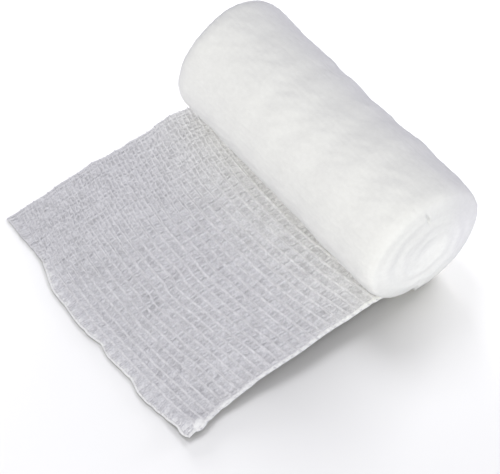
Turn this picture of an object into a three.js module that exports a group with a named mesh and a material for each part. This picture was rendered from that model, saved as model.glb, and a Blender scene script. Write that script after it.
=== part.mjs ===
// A rolled gauze bandage with its loose end laid out in front of it.
// Millimetres, +Z up. The roll lies along X. The origin is on the flat strip that the roll rests on, below its
// middle, and the loose end runs from there towards -Y.

import * as THREE from "three";

// Driving sizes
const BANDAGE_WIDTH = 75; // from selvedge to selvedge, and so the length of the roll
const ROLL_HEIGHT = 31.6;
const ROLL_OVAL = 1.04; // its width over its height, because the roll sags a little
const CLOTH = 1; // thickness that stands for one crimped layer
const CLEARANCE = 0.3; // between the roll and the loose end where they part
const REST_SINK = 0.3; // how much of the round is pressed flat underneath

// The roll
const ROLL_RADIUS = ROLL_HEIGHT / 2;
const RIM_ROUND = 3.5; // radius of the soft rim at each end
const RIM_STEPS = 4;
const SIDE_STEPS = 20;
const FACE_STEPS = 12;
const ROUND_STEPS = 64;
const STEP_BACK = 0.1; // radians in front of the lowest line, where the outer layer leaves the roll
const STEP_SPAN = 0.02; // radians that the drop to the next layer takes
const STEP_DROP = CLOTH + CLEARANCE + REST_SINK;
const STEP_FADE = 6; // how soon the drop is lost on the way up the front of the roll
const STEP_DEPTH = 3; // how soon it is lost on the way in to the heart of an end face
const END_LEAN_FADE = 4; // how soon the unevenness of an end is lost along the roll
const END_TURNS = 3; // wound ridges that show on an end face
const END_RIDGE = 0.35;
const END_DOME = 0.7;
const HEART_DIP = 0.8;
const HEART_SIZE = 0.28; // share of the face's radius
const HEART_TILT = 0.42; // radians from level to the long way of the squashed heart
const HEART_STRETCH = 1.35; // long way over short way at the heart

// How far each end stands out or in round its rim, in turns from where the outer layer leaves the roll
const rimRows = [
  { turn: 0, far: 0, near: 0.4 },
  { turn: 0.12, far: 0, near: 0.5 },
  { turn: 0.3, far: 0.2, near: 0 },
  { turn: 0.5, far: 0.4, near: -0.1 },
  { turn: 0.6, far: -0.6, near: 0 },
  { turn: 0.7, far: -0.9, near: 0 },
  { turn: 0.85, far: -0.4, near: 0.1 },
  { turn: 1, far: 0, near: 0.4 },
];

// The roll's girth from its far end (-X) to its near end (+X): where bands of the cloth stand proud or lie low
const girthRows = [
  { across: -38, swell: -0.1 },
  { across: -33, swell: -0.05 },
  { across: -28, swell: -0.25 },
  { across: -21, swell: -0.3 },
  { across: -14, swell: -0.15 },
  { across: -10, swell: -0.35 },
  { across: -6, swell: -0.15 },
  { across: -1, swell: -0.35 },
  { across: 6, swell: -0.15 },
  { across: 10, swell: -0.25 },
  { across: 14, swell: 0.05 },
  { across: 18, swell: 0.35 },
  { across: 23, swell: 0.1 },
  { across: 28, swell: 0.25 },
  { across: 33, swell: 0.1 },
  { across: 38, swell: 0.1 },
];

// The loose end from the roll to the cut: where its selvedges run, and how high its underside stands
const lengthRows = [
  { along: 2, far: -36.0, near: 33.5, liftFar: 0, liftNear: 0 },
  { along: 9, far: -37.3, near: 35.2, liftFar: 1.8, liftNear: 2.2 },
  { along: 13, far: -37.6, near: 35.4, liftFar: 2.1, liftNear: 2.9 },
  { along: 18, far: -38.0, near: 35.8, liftFar: 2.3, liftNear: 3.1 },
  { along: 22, far: -37.4, near: 35.9, liftFar: 2.3, liftNear: 3.2 },
  { along: 25, far: -36.9, near: 35.8, liftFar: 2.3, liftNear: 3.1 },
  { along: 29, far: -37.1, near: 35.9, liftFar: 2.2, liftNear: 3.0 },
  { along: 34, far: -37.1, near: 36.1, liftFar: 2.0, liftNear: 2.7 },
  { along: 40, far: -37.7, near: 35.9, liftFar: 1.6, liftNear: 2.2 },
  { along: 46, far: -37.6, near: 35.7, liftFar: 1.0, liftNear: 1.5 },
  { along: 52, far: -37.5, near: 36.0, liftFar: 0.5, liftNear: 0.8 },
  { along: 57, far: -37.4, near: 36.2, liftFar: 0.2, liftNear: 0.2 },
  { along: 61, far: -37.1, near: 37.1, liftFar: 0, liftNear: 0 },
  { along: 63, far: -37.2, near: 37.6, liftFar: 0, liftNear: 0 },
  { along: 64, far: -37.3, near: 37.3, liftFar: 0, liftNear: 0 },
  { along: 67, far: -37.4, near: 37.7, liftFar: 0, liftNear: 0 },
];

// The cut: how far in front of the origin it lies, from the far selvedge to the near one
const cutRows = [
  { across: -37.4, reach: 64.8 },
  { across: -33, reach: 64.8 },
  { across: -28, reach: 64.8 },
  { across: -24, reach: 65.0 },
  { across: -22, reach: 65.0 },
  { across: -18, reach: 66.3 },
  { across: -14, reach: 67.6 },
  { across: -8, reach: 67.9 },
  { across: 0, reach: 68.2 },
  { across: 5, reach: 67.4 },
  { across: 10, reach: 68.0 },
  { across: 17, reach: 67.5 },
  { across: 22, reach: 68.1 },
  { across: 29, reach: 67.3 },
  { across: 33, reach: 66.5 },
  { across: 35.5, reach: 66.6 },
  { across: 37.5, reach: 66.2 },
];

// Low folds and hollows in the loose end: the middle of each, its half length and half width,
// the way its length runs in radians from straight along the cloth, and its height
const foldRows = [
  { across: -22, along: 59, length: 8, width: 4, turn: -0.9, height: 0.5 },
  { across: 8, along: 34, length: 22, width: 6, turn: 0.3, height: 0.5 },
  { across: -15, along: 26, length: 20, width: 6, turn: -0.25, height: -0.5 },
  { across: 25, along: 50, length: 13, width: 4, turn: 0.15, height: 0.5 },
  { across: 34.5, along: 63, length: 4, width: 2, turn: 0.5, height: 1.0 },
];
const EDGE_CURL = 0.8; // how far the near selvedge turns up
const EDGE_CURL_WIDTH = 3;
const EDGE_CURL_START = 8; // the curl grows over this length from the roll
const SHEET_STEPS_ACROSS = 30;
const SHEET_STEPS_ALONG = 28;

const FULL_TURN = 2 * Math.PI;
const clamp01 = (t) => Math.min(1, Math.max(0, t));
const bell = (offset, width) => Math.exp(-((offset / width) ** 2));

// A smooth line through one column of a table, read at a place along another column
function columnCurve(rows, key, column) {
  const curve = new THREE.CubicInterpolant(
    rows.map((row) => row[key]),
    rows.map((row) => row[column]),
    1,
  );
  return (place) => curve.evaluate(place)[0];
}

const girthSwell = columnCurve(girthRows, "across", "swell");
const farRim = columnCurve(rimRows, "turn", "far");
const nearRim = columnCurve(rimRows, "turn", "near");
const farSelvedge = columnCurve(lengthRows, "along", "far");
const nearSelvedge = columnCurve(lengthRows, "along", "near");
const farLift = columnCurve(lengthRows, "along", "liftFar");
const nearLift = columnCurve(lengthRows, "along", "liftNear");
const cutReach = columnCurve(cutRows, "across", "reach");

// Sends each point of a geometry to where a function places it
function shapePoints(geometry, place) {
  const points = geometry.getAttribute("position");
  const point = new THREE.Vector3();
  for (let i = 0; i < points.count; i++) {
    place(point.fromBufferAttribute(points, i));
    points.setXYZ(i, point.x, point.y, point.z);
  }
  return geometry;
}

const rollGirth = (across) => ROLL_RADIUS + girthSwell(across);

// Radius at an angle that starts where the outer layer leaves the roll and goes up the back and over the top
const windingRadius = (across, wound, share = 1) =>
  rollGirth(across) - STEP_DROP * (wound / FULL_TURN) ** STEP_FADE * share ** STEP_DEPTH;

// Height of the underside of the roll at a distance in front of the origin
function rollUnderside(across, along) {
  const radius = rollGirth(across) - STEP_DROP;
  const level = Math.min(along / ROLL_OVAL, radius);
  const wound = FULL_TURN + STEP_BACK - Math.asin(level / radius);
  const drop = Math.sqrt(windingRadius(across, wound) ** 2 - level ** 2);
  return rollGirth(across) - REST_SINK - drop;
}

// From the middle of the end face at -X, over its rim, along the side and in again at +X
function rollProfile() {
  const half = BANDAGE_WIDTH / 2;
  const faceRadius = ROLL_RADIUS - RIM_ROUND;
  const end = [];
  for (let i = 0; i < FACE_STEPS; i++)
    end.push(new THREE.Vector2((faceRadius * i) / FACE_STEPS, -half));
  for (let i = 0; i <= RIM_STEPS; i++) {
    const turn = ((Math.PI / 2) * i) / RIM_STEPS;
    const radius = faceRadius + RIM_ROUND * Math.sin(turn);
    end.push(new THREE.Vector2(radius, RIM_ROUND * (1 - Math.cos(turn)) - half));
  }
  const side = [];
  const sideStep = (BANDAGE_WIDTH - 2 * RIM_ROUND) / SIDE_STEPS;
  for (let i = 1; i < SIDE_STEPS; i++)
    side.push(new THREE.Vector2(ROLL_RADIUS, RIM_ROUND - half + sideStep * i));
  const otherEnd = end.map((p) => new THREE.Vector2(p.x, -p.y)).reverse();
  return [...end, ...side, ...otherEnd];
}

// How far an end face stands out: a low dome, a dip at its heart, and ridges along the winding
function endRelief(share, wound) {
  const fade = 1 - share * share;
  const ridge = END_RIDGE * share * Math.cos(FULL_TURN * END_TURNS * share + wound);
  return (END_DOME + ridge) * fade - HEART_DIP * bell(share, HEART_SIZE);
}

// Sends a point of the round profile to its place on the wound roll
function placeOnRoll(point) {
  const share = Math.hypot(point.x, point.z) / ROLL_RADIUS;
  const column = Math.round((Math.atan2(point.x, point.z) / FULL_TURN) * ROUND_STEPS);
  const columnStep = (FULL_TURN - STEP_SPAN) / (ROUND_STEPS - 1);
  const wound = ((column + ROUND_STEPS) % ROUND_STEPS) * columnStep;
  const across = point.y;

  // The heart is squashed along a tilted line
  const radius = share * windingRadius(across, wound, share);
  const squash = Math.sqrt(1 + (HEART_STRETCH - 1) * (1 - share) ** 2);
  const turned = wound - STEP_BACK - Math.PI / 2 - HEART_TILT;
  const heart = new THREE.Vector2(
    radius * Math.cos(turned) * squash,
    (radius * Math.sin(turned)) / squash,
  ).rotateAround(new THREE.Vector2(), HEART_TILT);

  const faceShare = share / (1 - RIM_ROUND / ROLL_RADIUS);
  const relief = faceShare < 1 ? endRelief(faceShare, wound) : 0;
  const rim = (across < 0 ? farRim : nearRim)(wound / FULL_TURN);
  const reach = clamp01(Math.abs(across) / (BANDAGE_WIDTH / 2)) ** END_LEAN_FADE;
  const out = relief + rim * reach * Math.min(1, faceShare);
  const centre = rollGirth(across) - REST_SINK;
  point.set(across + Math.sign(across) * out, heart.x * ROLL_OVAL, Math.max(0, centre + heart.y));
}

function makeRoll() {
  return shapePoints(new THREE.LatheGeometry(rollProfile(), ROUND_STEPS), placeOnRoll);
}

// Height of the underside of the loose end, kept below the roll where it passes under it
function sheetLift(across, along) {
  const nearShare = THREE.MathUtils.smoothstep(across, -BANDAGE_WIDTH / 2, BANDAGE_WIDTH / 2);
  let lift = THREE.MathUtils.lerp(farLift(along), nearLift(along), nearShare);
  for (const fold of foldRows) {
    const from = new THREE.Vector2(across - fold.across, along - fold.along);
    from.rotateAround(new THREE.Vector2(), -fold.turn);
    lift += fold.height * bell(from.y, fold.length) * bell(from.x, fold.width);
  }
  const curl = clamp01(1 - (nearSelvedge(along) - across) / EDGE_CURL_WIDTH);
  lift += EDGE_CURL * curl ** 2 * clamp01((along - EDGE_CURL_START) / EDGE_CURL_START);
  const headroom = rollUnderside(across, along) - CLEARANCE - CLOTH;
  const underRoll = along < ROLL_RADIUS;
  return Math.max(0, underRoll ? Math.min(lift, headroom) : lift);
}

// Sends a point of a plate, one unit long and thick, to its place on the loose end
function placeOnSheet(point) {
  const share = point.x / BANDAGE_WIDTH;
  const start = STEP_BACK * ROLL_RADIUS + CLEARANCE;
  const along = start + (0.5 - point.y) * (cutReach(point.x) - start);
  const across = THREE.MathUtils.lerp(farSelvedge(along), nearSelvedge(along), share + 0.5);
  point.set(across, -along, sheetLift(across, along) + (point.z + 0.5) * CLOTH);
}

function makeLooseEnd() {
  const steps = [SHEET_STEPS_ACROSS, SHEET_STEPS_ALONG, 1];
  return shapePoints(new THREE.BoxGeometry(BANDAGE_WIDTH, 1, 1, ...steps), placeOnSheet);
}

const woundGauze = new THREE.MeshStandardMaterial({
  color: 0xe8e8e6,
  roughness: 0.95,
  metalness: 0,
});
const sheerGauze = new THREE.MeshStandardMaterial({
  color: 0xc9c8cd,
  roughness: 0.95,
  metalness: 0,
});

const roll = new THREE.Mesh(makeRoll(), woundGauze);
roll.name = "roll";

const looseEnd = new THREE.Mesh(makeLooseEnd(), sheerGauze);
looseEnd.name = "loose_end";

const bandage = new THREE.Group();
bandage.add(roll, looseEnd);

export default bandage;
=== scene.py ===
# %% [markdown]
# # A rolled gauze bandage
#
# A bandage of white conforming gauze lies on its side, with its loose end laid out flat in front. The real
# thing is one woven strip: crimped yarns run along it, and thin straight yarns cross them. Where many
# layers lie on each other the cloth is white and nearly smooth, and where there is one layer each yarn
# shows.
#
# The solids of the frame give the place and the outer form. Each gets its fine surface here: a wound skin
# for the roll, and for the loose end a thin film with every yarn laid over it.

# %% Load the fixed frame
import math

import bpy
import numpy as np
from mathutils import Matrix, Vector


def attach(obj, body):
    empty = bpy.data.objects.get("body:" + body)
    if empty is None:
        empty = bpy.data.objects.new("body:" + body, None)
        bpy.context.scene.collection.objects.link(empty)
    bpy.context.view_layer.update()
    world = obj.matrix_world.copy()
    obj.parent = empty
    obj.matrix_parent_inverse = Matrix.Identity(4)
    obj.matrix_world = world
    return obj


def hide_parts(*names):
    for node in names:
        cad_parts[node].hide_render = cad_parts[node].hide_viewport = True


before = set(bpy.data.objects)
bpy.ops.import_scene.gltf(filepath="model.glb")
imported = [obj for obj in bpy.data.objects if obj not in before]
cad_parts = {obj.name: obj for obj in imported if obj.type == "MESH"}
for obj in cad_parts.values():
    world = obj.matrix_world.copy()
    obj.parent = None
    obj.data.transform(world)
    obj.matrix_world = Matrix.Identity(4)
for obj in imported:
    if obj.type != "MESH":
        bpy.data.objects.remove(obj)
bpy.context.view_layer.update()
MM = 0.001
print("the frame holds", sorted(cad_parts))

# %% [markdown]
# ## The camera
#
# A long lens far away keeps the two edges of the strip almost parallel, as in the picture. The camera is
# placed by what it looks at: a spot on the cloth, a turn round it, a height above it and a distance.

# %% Place the camera
CAMERA_AIM = Vector((1.51, -22.23, 0)) * MM
CAMERA_TURN = math.radians(52.81)
CAMERA_HEIGHT = math.radians(53.36)
CAMERA_DISTANCE = 480 * MM
CAMERA_LENS = 147.6
CAMERA_SENSOR = 36
CAMERA_NEAR = 0.01

towards_camera = Vector((
    math.sin(CAMERA_TURN) * math.cos(CAMERA_HEIGHT),
    -math.cos(CAMERA_TURN) * math.cos(CAMERA_HEIGHT),
    math.sin(CAMERA_HEIGHT),
))
bpy.ops.object.camera_add(
    location=CAMERA_AIM + towards_camera * CAMERA_DISTANCE,
    rotation=towards_camera.to_track_quat("Z", "Y").to_euler(),
)
camera = bpy.context.object
camera.name = "camera"
camera.data.lens = CAMERA_LENS
camera.data.sensor_width = CAMERA_SENSOR
camera.data.clip_start = CAMERA_NEAR
bpy.context.scene.camera = camera
print("camera at", [round(part, 3) for part in camera.location])

# %% [markdown]
# ## Working in small steps
#
# Most pieces start as a primitive that is cut finer in edit mode. An operator works on whatever is
# selected, so each step starts with nothing selected. Points are moved with arrays, because cloth has too
# many to move one at a time. Forms are in millimetres, and become metres when they reach a mesh.

# %% Helpers that pick, read and move
def select_only(*pieces):
    """Leaves just these pieces selected, with the first one active."""
    bpy.ops.object.select_all(action="DESELECT")
    for piece in pieces:
        piece.select_set(True)
    bpy.context.view_layer.objects.active = pieces[0]


def new_piece(name):
    """Names the primitive that was just added, and puts its turn into its mesh."""
    piece = bpy.context.object
    piece.name = piece.data.name = name
    bpy.ops.object.transform_apply(location=True, rotation=True, scale=True)
    return piece


def points_of(piece):
    """The piece's points in millimetres, one row each."""
    spots = np.empty(len(piece.data.vertices) * 3)
    piece.data.vertices.foreach_get("co", spots)
    return spots.reshape(-1, 3) / MM


def move_points(piece, across, back, up):
    """Puts the piece's points at these places, given in millimetres."""
    spots = np.stack(np.broadcast_arrays(across, back, up), axis=1) * MM
    piece.data.vertices.foreach_set("co", spots.ravel())
    piece.data.update()


print("points are read and moved in millimetres, and a millimetre is", MM, "m")


# %% Helpers that add and finish a piece
def add_grid(name, columns, rows):
    """A flat grid that measures 1 by 1 mm, and its points."""
    bpy.ops.object.select_all(action="DESELECT")
    bpy.ops.mesh.primitive_grid_add(x_subdivisions=columns, y_subdivisions=rows, size=MM)
    piece = new_piece(name)
    return piece, points_of(piece)


def add_rod(name, sides, radius, length, ends):
    """A straight rod along X."""
    bpy.ops.object.select_all(action="DESELECT")
    bpy.ops.mesh.primitive_cylinder_add(
        vertices=sides,
        radius=radius * MM,
        depth=length * MM,
        end_fill_type=ends,
        rotation=(0, math.pi / 2, 0),
    )
    return new_piece(name)


def triangle_count(piece):
    """How many triangles the piece's faces come to."""
    return sum(len(face.vertices) - 2 for face in piece.data.polygons)


def smooth(piece):
    """Gives the piece smooth shading, and prints how many triangles it has."""
    select_only(piece)
    bpy.ops.object.shade_smooth()
    print(piece.name, "has", triangle_count(piece), "triangles")


def thicken(piece, thickness, offset):
    """Makes a closed sheet of an open one."""
    select_only(piece)
    wall = piece.modifiers.new("wall", "SOLIDIFY")
    wall.thickness = thickness * MM
    wall.offset = offset
    bpy.ops.object.modifier_apply(modifier=wall.name)
    smooth(piece)


def cut_long_edges(piece, shortest, cuts):
    """Cuts each edge that is longer than this into equal parts, which makes rings round a rod."""
    select_only(piece)
    bpy.ops.object.mode_set(mode="EDIT")
    bpy.ops.mesh.select_mode(type="EDGE")
    bpy.ops.mesh.select_all(action="DESELECT")
    bpy.ops.object.mode_set(mode="OBJECT")
    spots = points_of(piece)
    for edge in piece.data.edges:
        start, end = edge.vertices
        edge.select = bool(np.linalg.norm(spots[start] - spots[end]) > shortest)
    bpy.ops.object.mode_set(mode="EDIT")
    bpy.ops.mesh.subdivide(number_cuts=cuts)
    bpy.ops.object.mode_set(mode="OBJECT")


def change_uvs(piece, change):
    """Puts a piece's UV map, which runs from 0 to 1, through a function that returns millimetres."""
    layer = piece.data.uv_layers.active.data
    spots = np.empty(len(layer) * 2)
    layer.foreach_get("uv", spots)
    layer.foreach_set("uv", (change(spots.reshape(-1, 2)) * MM).ravel())


print("the pieces start as grids and rods, sized in millimetres")

# %% [markdown]
# ## Soft forms from few numbers
#
# Cloth has no straight lines, yet points placed at random can't be adjusted. So each form comes from a
# short table with a smooth line through it, from bells and soft steps for folds, and from an unevenness
# that looks random but is the same in each run.

# %% Helpers for soft forms
def table(columns, *rows):
    """A short table, with a name for each column and a row for each place."""
    names = columns.split()
    return [dict(zip(names, row)) for row in rows]


def smooth_line(rows, key, column):
    """A smooth line through one column of a table, read at places along another column."""
    places = np.array([row[key] for row in rows], float)
    values = np.array([row[column] for row in rows], float)
    slopes = np.diff(values) / np.diff(places)
    leans = (np.r_[slopes[0], slopes] + np.r_[slopes, slopes[-1]]) / 2

    def read(place):
        place = np.clip(place, places[0], places[-1])
        i = np.clip(np.searchsorted(places, place, side="right") - 1, 0, len(slopes) - 1)
        span = places[i + 1] - places[i]
        t = (place - places[i]) / span
        level = values[i] * (1 + 2 * t) * (1 - t) ** 2 + values[i + 1] * (3 - 2 * t) * t**2
        return level + span * t * (1 - t) * (leans[i] * (1 - t) - leans[i + 1] * t)

    return read


def blend(start, end, share):
    """Goes from start to end as the share goes from 0 to 1."""
    return start + (end - start) * share


def soft_step(place, start, end):
    """0 before the start and 1 after the end, with a soft rise between them."""
    t = np.clip((place - start) / (end - start), 0, 1)
    return t * t * (3 - 2 * t)


def bell(offset, width):
    """1 in the middle, and fading to nothing over about twice the width."""
    return np.exp(-((offset / width) ** 2))


NOISE_CELLS = 64


def unevenness(first, second, hills):
    """Random hills and hollows, the same in each run. They are given by their height, width and seed."""
    height, wide, seed = hills
    levels = np.random.default_rng(seed).uniform(-1, 1, (NOISE_CELLS, NOISE_CELLS))
    first, second = np.broadcast_arrays(first / wide, second / wide)
    column, row = np.floor(first).astype(int), np.floor(second).astype(int)
    across, down = soft_step(first - column, 0, 1), soft_step(second - row, 0, 1)

    def corner(right, below):
        return levels[(column + right) % NOISE_CELLS, (row + below) % NOISE_CELLS]

    upper = blend(corner(0, 0), corner(1, 0), across)
    lower = blend(corner(0, 1), corner(1, 1), across)
    return height * blend(upper, lower, down)


print("a soft step is", soft_step(0.25, 0, 1), "at a quarter of its way")

# %% [markdown]
# ## The form of the roll
#
# A real roll isn't a cylinder. Its girth changes where the cloth was pulled tighter, its rims are soft, and
# its heart is squashed. The sizes are those of the frame's solid, so that the fine skin lies where the
# solid is. A point is told by three things: how far across the strip it is, how far round the winding, and
# its share of the radius.

# %% Sizes of the roll
BANDAGE_WIDTH = 75
HALF_WIDTH = BANDAGE_WIDTH / 2
ROLL_RADIUS = 15.8
ROLL_OVAL = 1.04
CLOTH = 1
CLEARANCE = 0.3
REST_SINK = 0.3
RIM_ROUND = 3.5
FACE_SHARE = 1 - RIM_ROUND / ROLL_RADIUS
STEP_BACK = 0.1
STEP_SPAN = 0.02
STEP_DROP = CLOTH + CLEARANCE + REST_SINK
STEP_FADE = 6
STEP_DEPTH = 3
END_LEAN_FADE = 4
FULL_TURN = 2 * math.pi

RIM_ROWS = table(
    "turn far near",
    (0, 0, 0.4),
    (0.12, 0, 0.5),
    (0.3, 0.2, 0),
    (0.5, 0.4, -0.1),
    (0.6, -0.6, 0),
    (0.7, -0.9, 0),
    (0.85, -0.4, 0.1),
    (1, 0, 0.4),
)
GIRTH_ROWS = table(
    "across swell",
    (-38, -0.1),
    (-33, -0.05),
    (-28, -0.25),
    (-21, -0.3),
    (-14, -0.15),
    (-10, -0.35),
    (-6, -0.15),
    (-1, -0.35),
    (6, -0.15),
    (10, -0.25),
    (14, 0.05),
    (18, 0.35),
    (23, 0.1),
    (28, 0.25),
    (33, 0.1),
    (38, 0.1),
)
girth_swell = smooth_line(GIRTH_ROWS, "across", "swell")
far_rim = smooth_line(RIM_ROWS, "turn", "far")
near_rim = smooth_line(RIM_ROWS, "turn", "near")


def roll_girth(across):
    """Radius of the roll at a place along it."""
    return ROLL_RADIUS + girth_swell(across)


def winding_radius(across, wound, share=1.0):
    """Radius at an angle that starts where the outer layer leaves the roll and goes up its back."""
    return roll_girth(across) - STEP_DROP * (wound / FULL_TURN) ** STEP_FADE * share**STEP_DEPTH


def roll_underside(across, along):
    """Height of the underside of the roll at a distance in front of the origin."""
    radius = roll_girth(across) - STEP_DROP
    level = np.minimum(along / ROLL_OVAL, radius)
    wound = FULL_TURN + STEP_BACK - np.arcsin(level / radius)
    drop = np.sqrt(winding_radius(across, wound) ** 2 - level**2)
    return roll_girth(across) - REST_SINK - drop


print("the roll is", BANDAGE_WIDTH, "mm wide and about", 2 * ROLL_RADIUS, "mm thick")

# %% [markdown]
# ## The relief of the side
#
# On the side of the roll the weave is only just seen, because the layers below fill its gaps. Those layers
# are pulled unevenly, which shows as short soft strokes aslant round the roll and as larger swells of its
# girth. A swell is kept where it makes the outline, and damped where it would look like a dent.

# %% Relief of the side
WEFT_PITCH = 1.22
WARP_PAIR = 2.9
WEFT_RELIEF = 0.025
WARP_RELIEF = 0.03
LAYERS = (0.05, 3.1, 11)
LAYER_STRETCH = 0.6
CRUMPLE = (0.055, 1.0, 12)
STROKES = (0.14, 1, 13)
STROKE_WIDE = 0.8
STROKE_LONG = 3.4
STROKE_SLANT = 0.84
SWELL_KEPT = 0.2
OUTLINE_ANGLE = 0.42
OUTLINE_POWER = 10


def side_relief(across, arc):
    """How far the weave, the layers below and the slanted strokes lift the side of the roll."""
    weft = WEFT_RELIEF * np.cos(FULL_TURN * arc / WEFT_PITCH)
    warp = WARP_RELIEF * np.cos(FULL_TURN * across / WARP_PAIR * 2)
    layers = unevenness(across, arc * LAYER_STRETCH, LAYERS)
    crumple = unevenness(across, arc, CRUMPLE)
    over = across * math.cos(STROKE_SLANT) + arc * math.sin(STROKE_SLANT)
    on = across * math.sin(STROKE_SLANT) - arc * math.cos(STROKE_SLANT)
    return weft + warp + layers + crumple + unevenness(over / STROKE_WIDE, on / STROKE_LONG, STROKES)


def damped_swell(across, wound):
    """Takes part of the swell away, but leaves it where it makes the outline."""
    angle = wound - STEP_BACK - math.pi / 2
    at_outline = np.cos(angle - OUTLINE_ANGLE) ** OUTLINE_POWER
    return -girth_swell(across) * (1 - SWELL_KEPT) * (1 - at_outline)


print("the strokes lift the side by", STROKES[0], "mm at most")

# %% [markdown]
# ## The relief of the end faces
#
# On an end face the selvedges of all the turns lie side by side, as a spiral of a few high ridges and many
# fine ones. The outermost turn stands out as a ring with a valley inside it, the heart dips in, and near
# the top of the near face two turns have come apart in a short slit. Everything wanders a little, or the
# face would look turned on a lathe. All of this is moved points and not bump, so that it shows from every
# side.

# %% Relief of the end faces
HEART_TILT = 0.42
HEART_STRETCH = 1.35
HEART_DIP = 0.6
HEART_SIZE = 0.28
END_DOME = 0.7
END_RIDGES = table(
    "turns start height wander",
    (3.2, 2.6, 0.24, 0.9),
    (7, 0, 0.06, 0.9),
    (15, 0, 0.035, 1.6),
)
RIDGE_CELL = 0.26
RIDGE_SEED = 20
RIDGE_FADE = 8
RING_HEIGHT = 0.45
RING_SHARE = 0.935
RING_VALLEY = 0.855
RING_WIDE = 0.045
RING_WANDER = (0.018, 0.35, 24)
RING_SHIFT = 0.01
RING_CHANGE = (0.4, 0.5, 25)
SLIT_BACK = -0.3
SLIT_UP = 11.3
SLIT_LEAN = -0.23
SLIT_LONG = 1.2
SLIT_WIDE = 0.26
SLIT_DEPTH = 1.1
SLIT_SHARE = 0.92


def end_relief(share, wound):
    """How far an end face stands out: a low dome, a dip at its heart, and ridges along the winding."""
    height = 0
    level, upright = share * np.cos(wound), share * np.sin(wound)
    for number, ridge in enumerate(END_RIDGES):
        wander = unevenness(level, upright, (ridge["wander"], RIDGE_CELL, RIDGE_SEED + number))
        phase = FULL_TURN * ridge["turns"] * share + wound + ridge["start"] + wander
        height = height + ridge["height"] * share * np.cos(phase)
    dome = END_DOME * (1 - share**2)
    return dome + height * (1 - share**RIDGE_FADE) - HEART_DIP * bell(share, HEART_SIZE)


def ring_relief(share, wound):
    """The outermost turn stands out of the rim as a ring, with a valley inside it."""
    level, upright = np.cos(wound), np.sin(wound)
    place = share + unevenness(level, upright, RING_WANDER) - RING_SHIFT * level
    strength = 1 + unevenness(level, upright, RING_CHANGE)
    ring, valley = bell(place - RING_SHARE, RING_WIDE), bell(place - RING_VALLEY, RING_WIDE)
    return RING_HEIGHT * strength * (ring - valley)


def slit_relief(back, up):
    """A short slit near the top of an end face, where two turns of the winding have come apart."""
    beside = back - SLIT_BACK - (up - SLIT_UP) * SLIT_LEAN
    return -SLIT_DEPTH * bell(beside, SLIT_WIDE) * bell(up - SLIT_UP, SLIT_LONG)


print("the ring stands", RING_HEIGHT, "mm out of each end, and the slit is", SLIT_DEPTH, "mm deep")

# %% [markdown]
# ## The skin of the roll
#
# A lathed outline could give the skin, but not the step where the loose end leaves. So an open cylinder is
# cut into rings, and the rings are shared out along the outline: many on the end faces, where the ridges
# are fine, some round the rims, and the rest along the side.

# %% Share the rings out along the outline
FACE_RINGS = 62
RIM_RINGS = 16
SIDE_RINGS = 186
ROUND_COLUMNS = 256


def roll_outline():
    """For each ring: how far across it is, its share of the radius, and its distance along the outline."""
    turn = np.linspace(0, math.pi / 2, RIM_RINGS + 1)
    face = np.linspace(0, FACE_SHARE, FACE_RINGS, endpoint=False)
    end_share = np.r_[face, FACE_SHARE + RIM_ROUND / ROLL_RADIUS * np.sin(turn)]
    end_across = np.r_[np.full(FACE_RINGS, -HALF_WIDTH), RIM_ROUND * (1 - np.cos(turn)) - HALF_WIDTH]
    side = np.linspace(RIM_ROUND - HALF_WIDTH, HALF_WIDTH - RIM_ROUND, SIDE_RINGS + 1)[1:-1]
    across = np.r_[end_across, side, -end_across[::-1]]
    share = np.r_[end_share, np.ones(len(side)), end_share[::-1]]
    steps = np.hypot(np.diff(across), np.diff(share * ROLL_RADIUS))
    return across, share, np.r_[0, np.cumsum(steps)]


ring_across, ring_share, ring_distance = roll_outline()
print("the skin has", len(ring_across), "rings of", ROUND_COLUMNS, "columns")

# %% [markdown]
# ## Cut it and wind it
#
# All the rings are cut at once, by subdividing the long edges. Each point then has its ring and its column,
# which is all it needs to be sent to its place. The first and the last column don't meet: between them is
# the step of one layer of cloth.

# %% Cut the cylinder
wound_cloth = add_rod("wound_cloth", ROUND_COLUMNS, ROLL_RADIUS, ring_distance[-1], "NOTHING")
cut_long_edges(wound_cloth, ring_distance[-1] / 2, len(ring_across) - 2)
print("cut into", len(wound_cloth.data.polygons), "faces")


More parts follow.
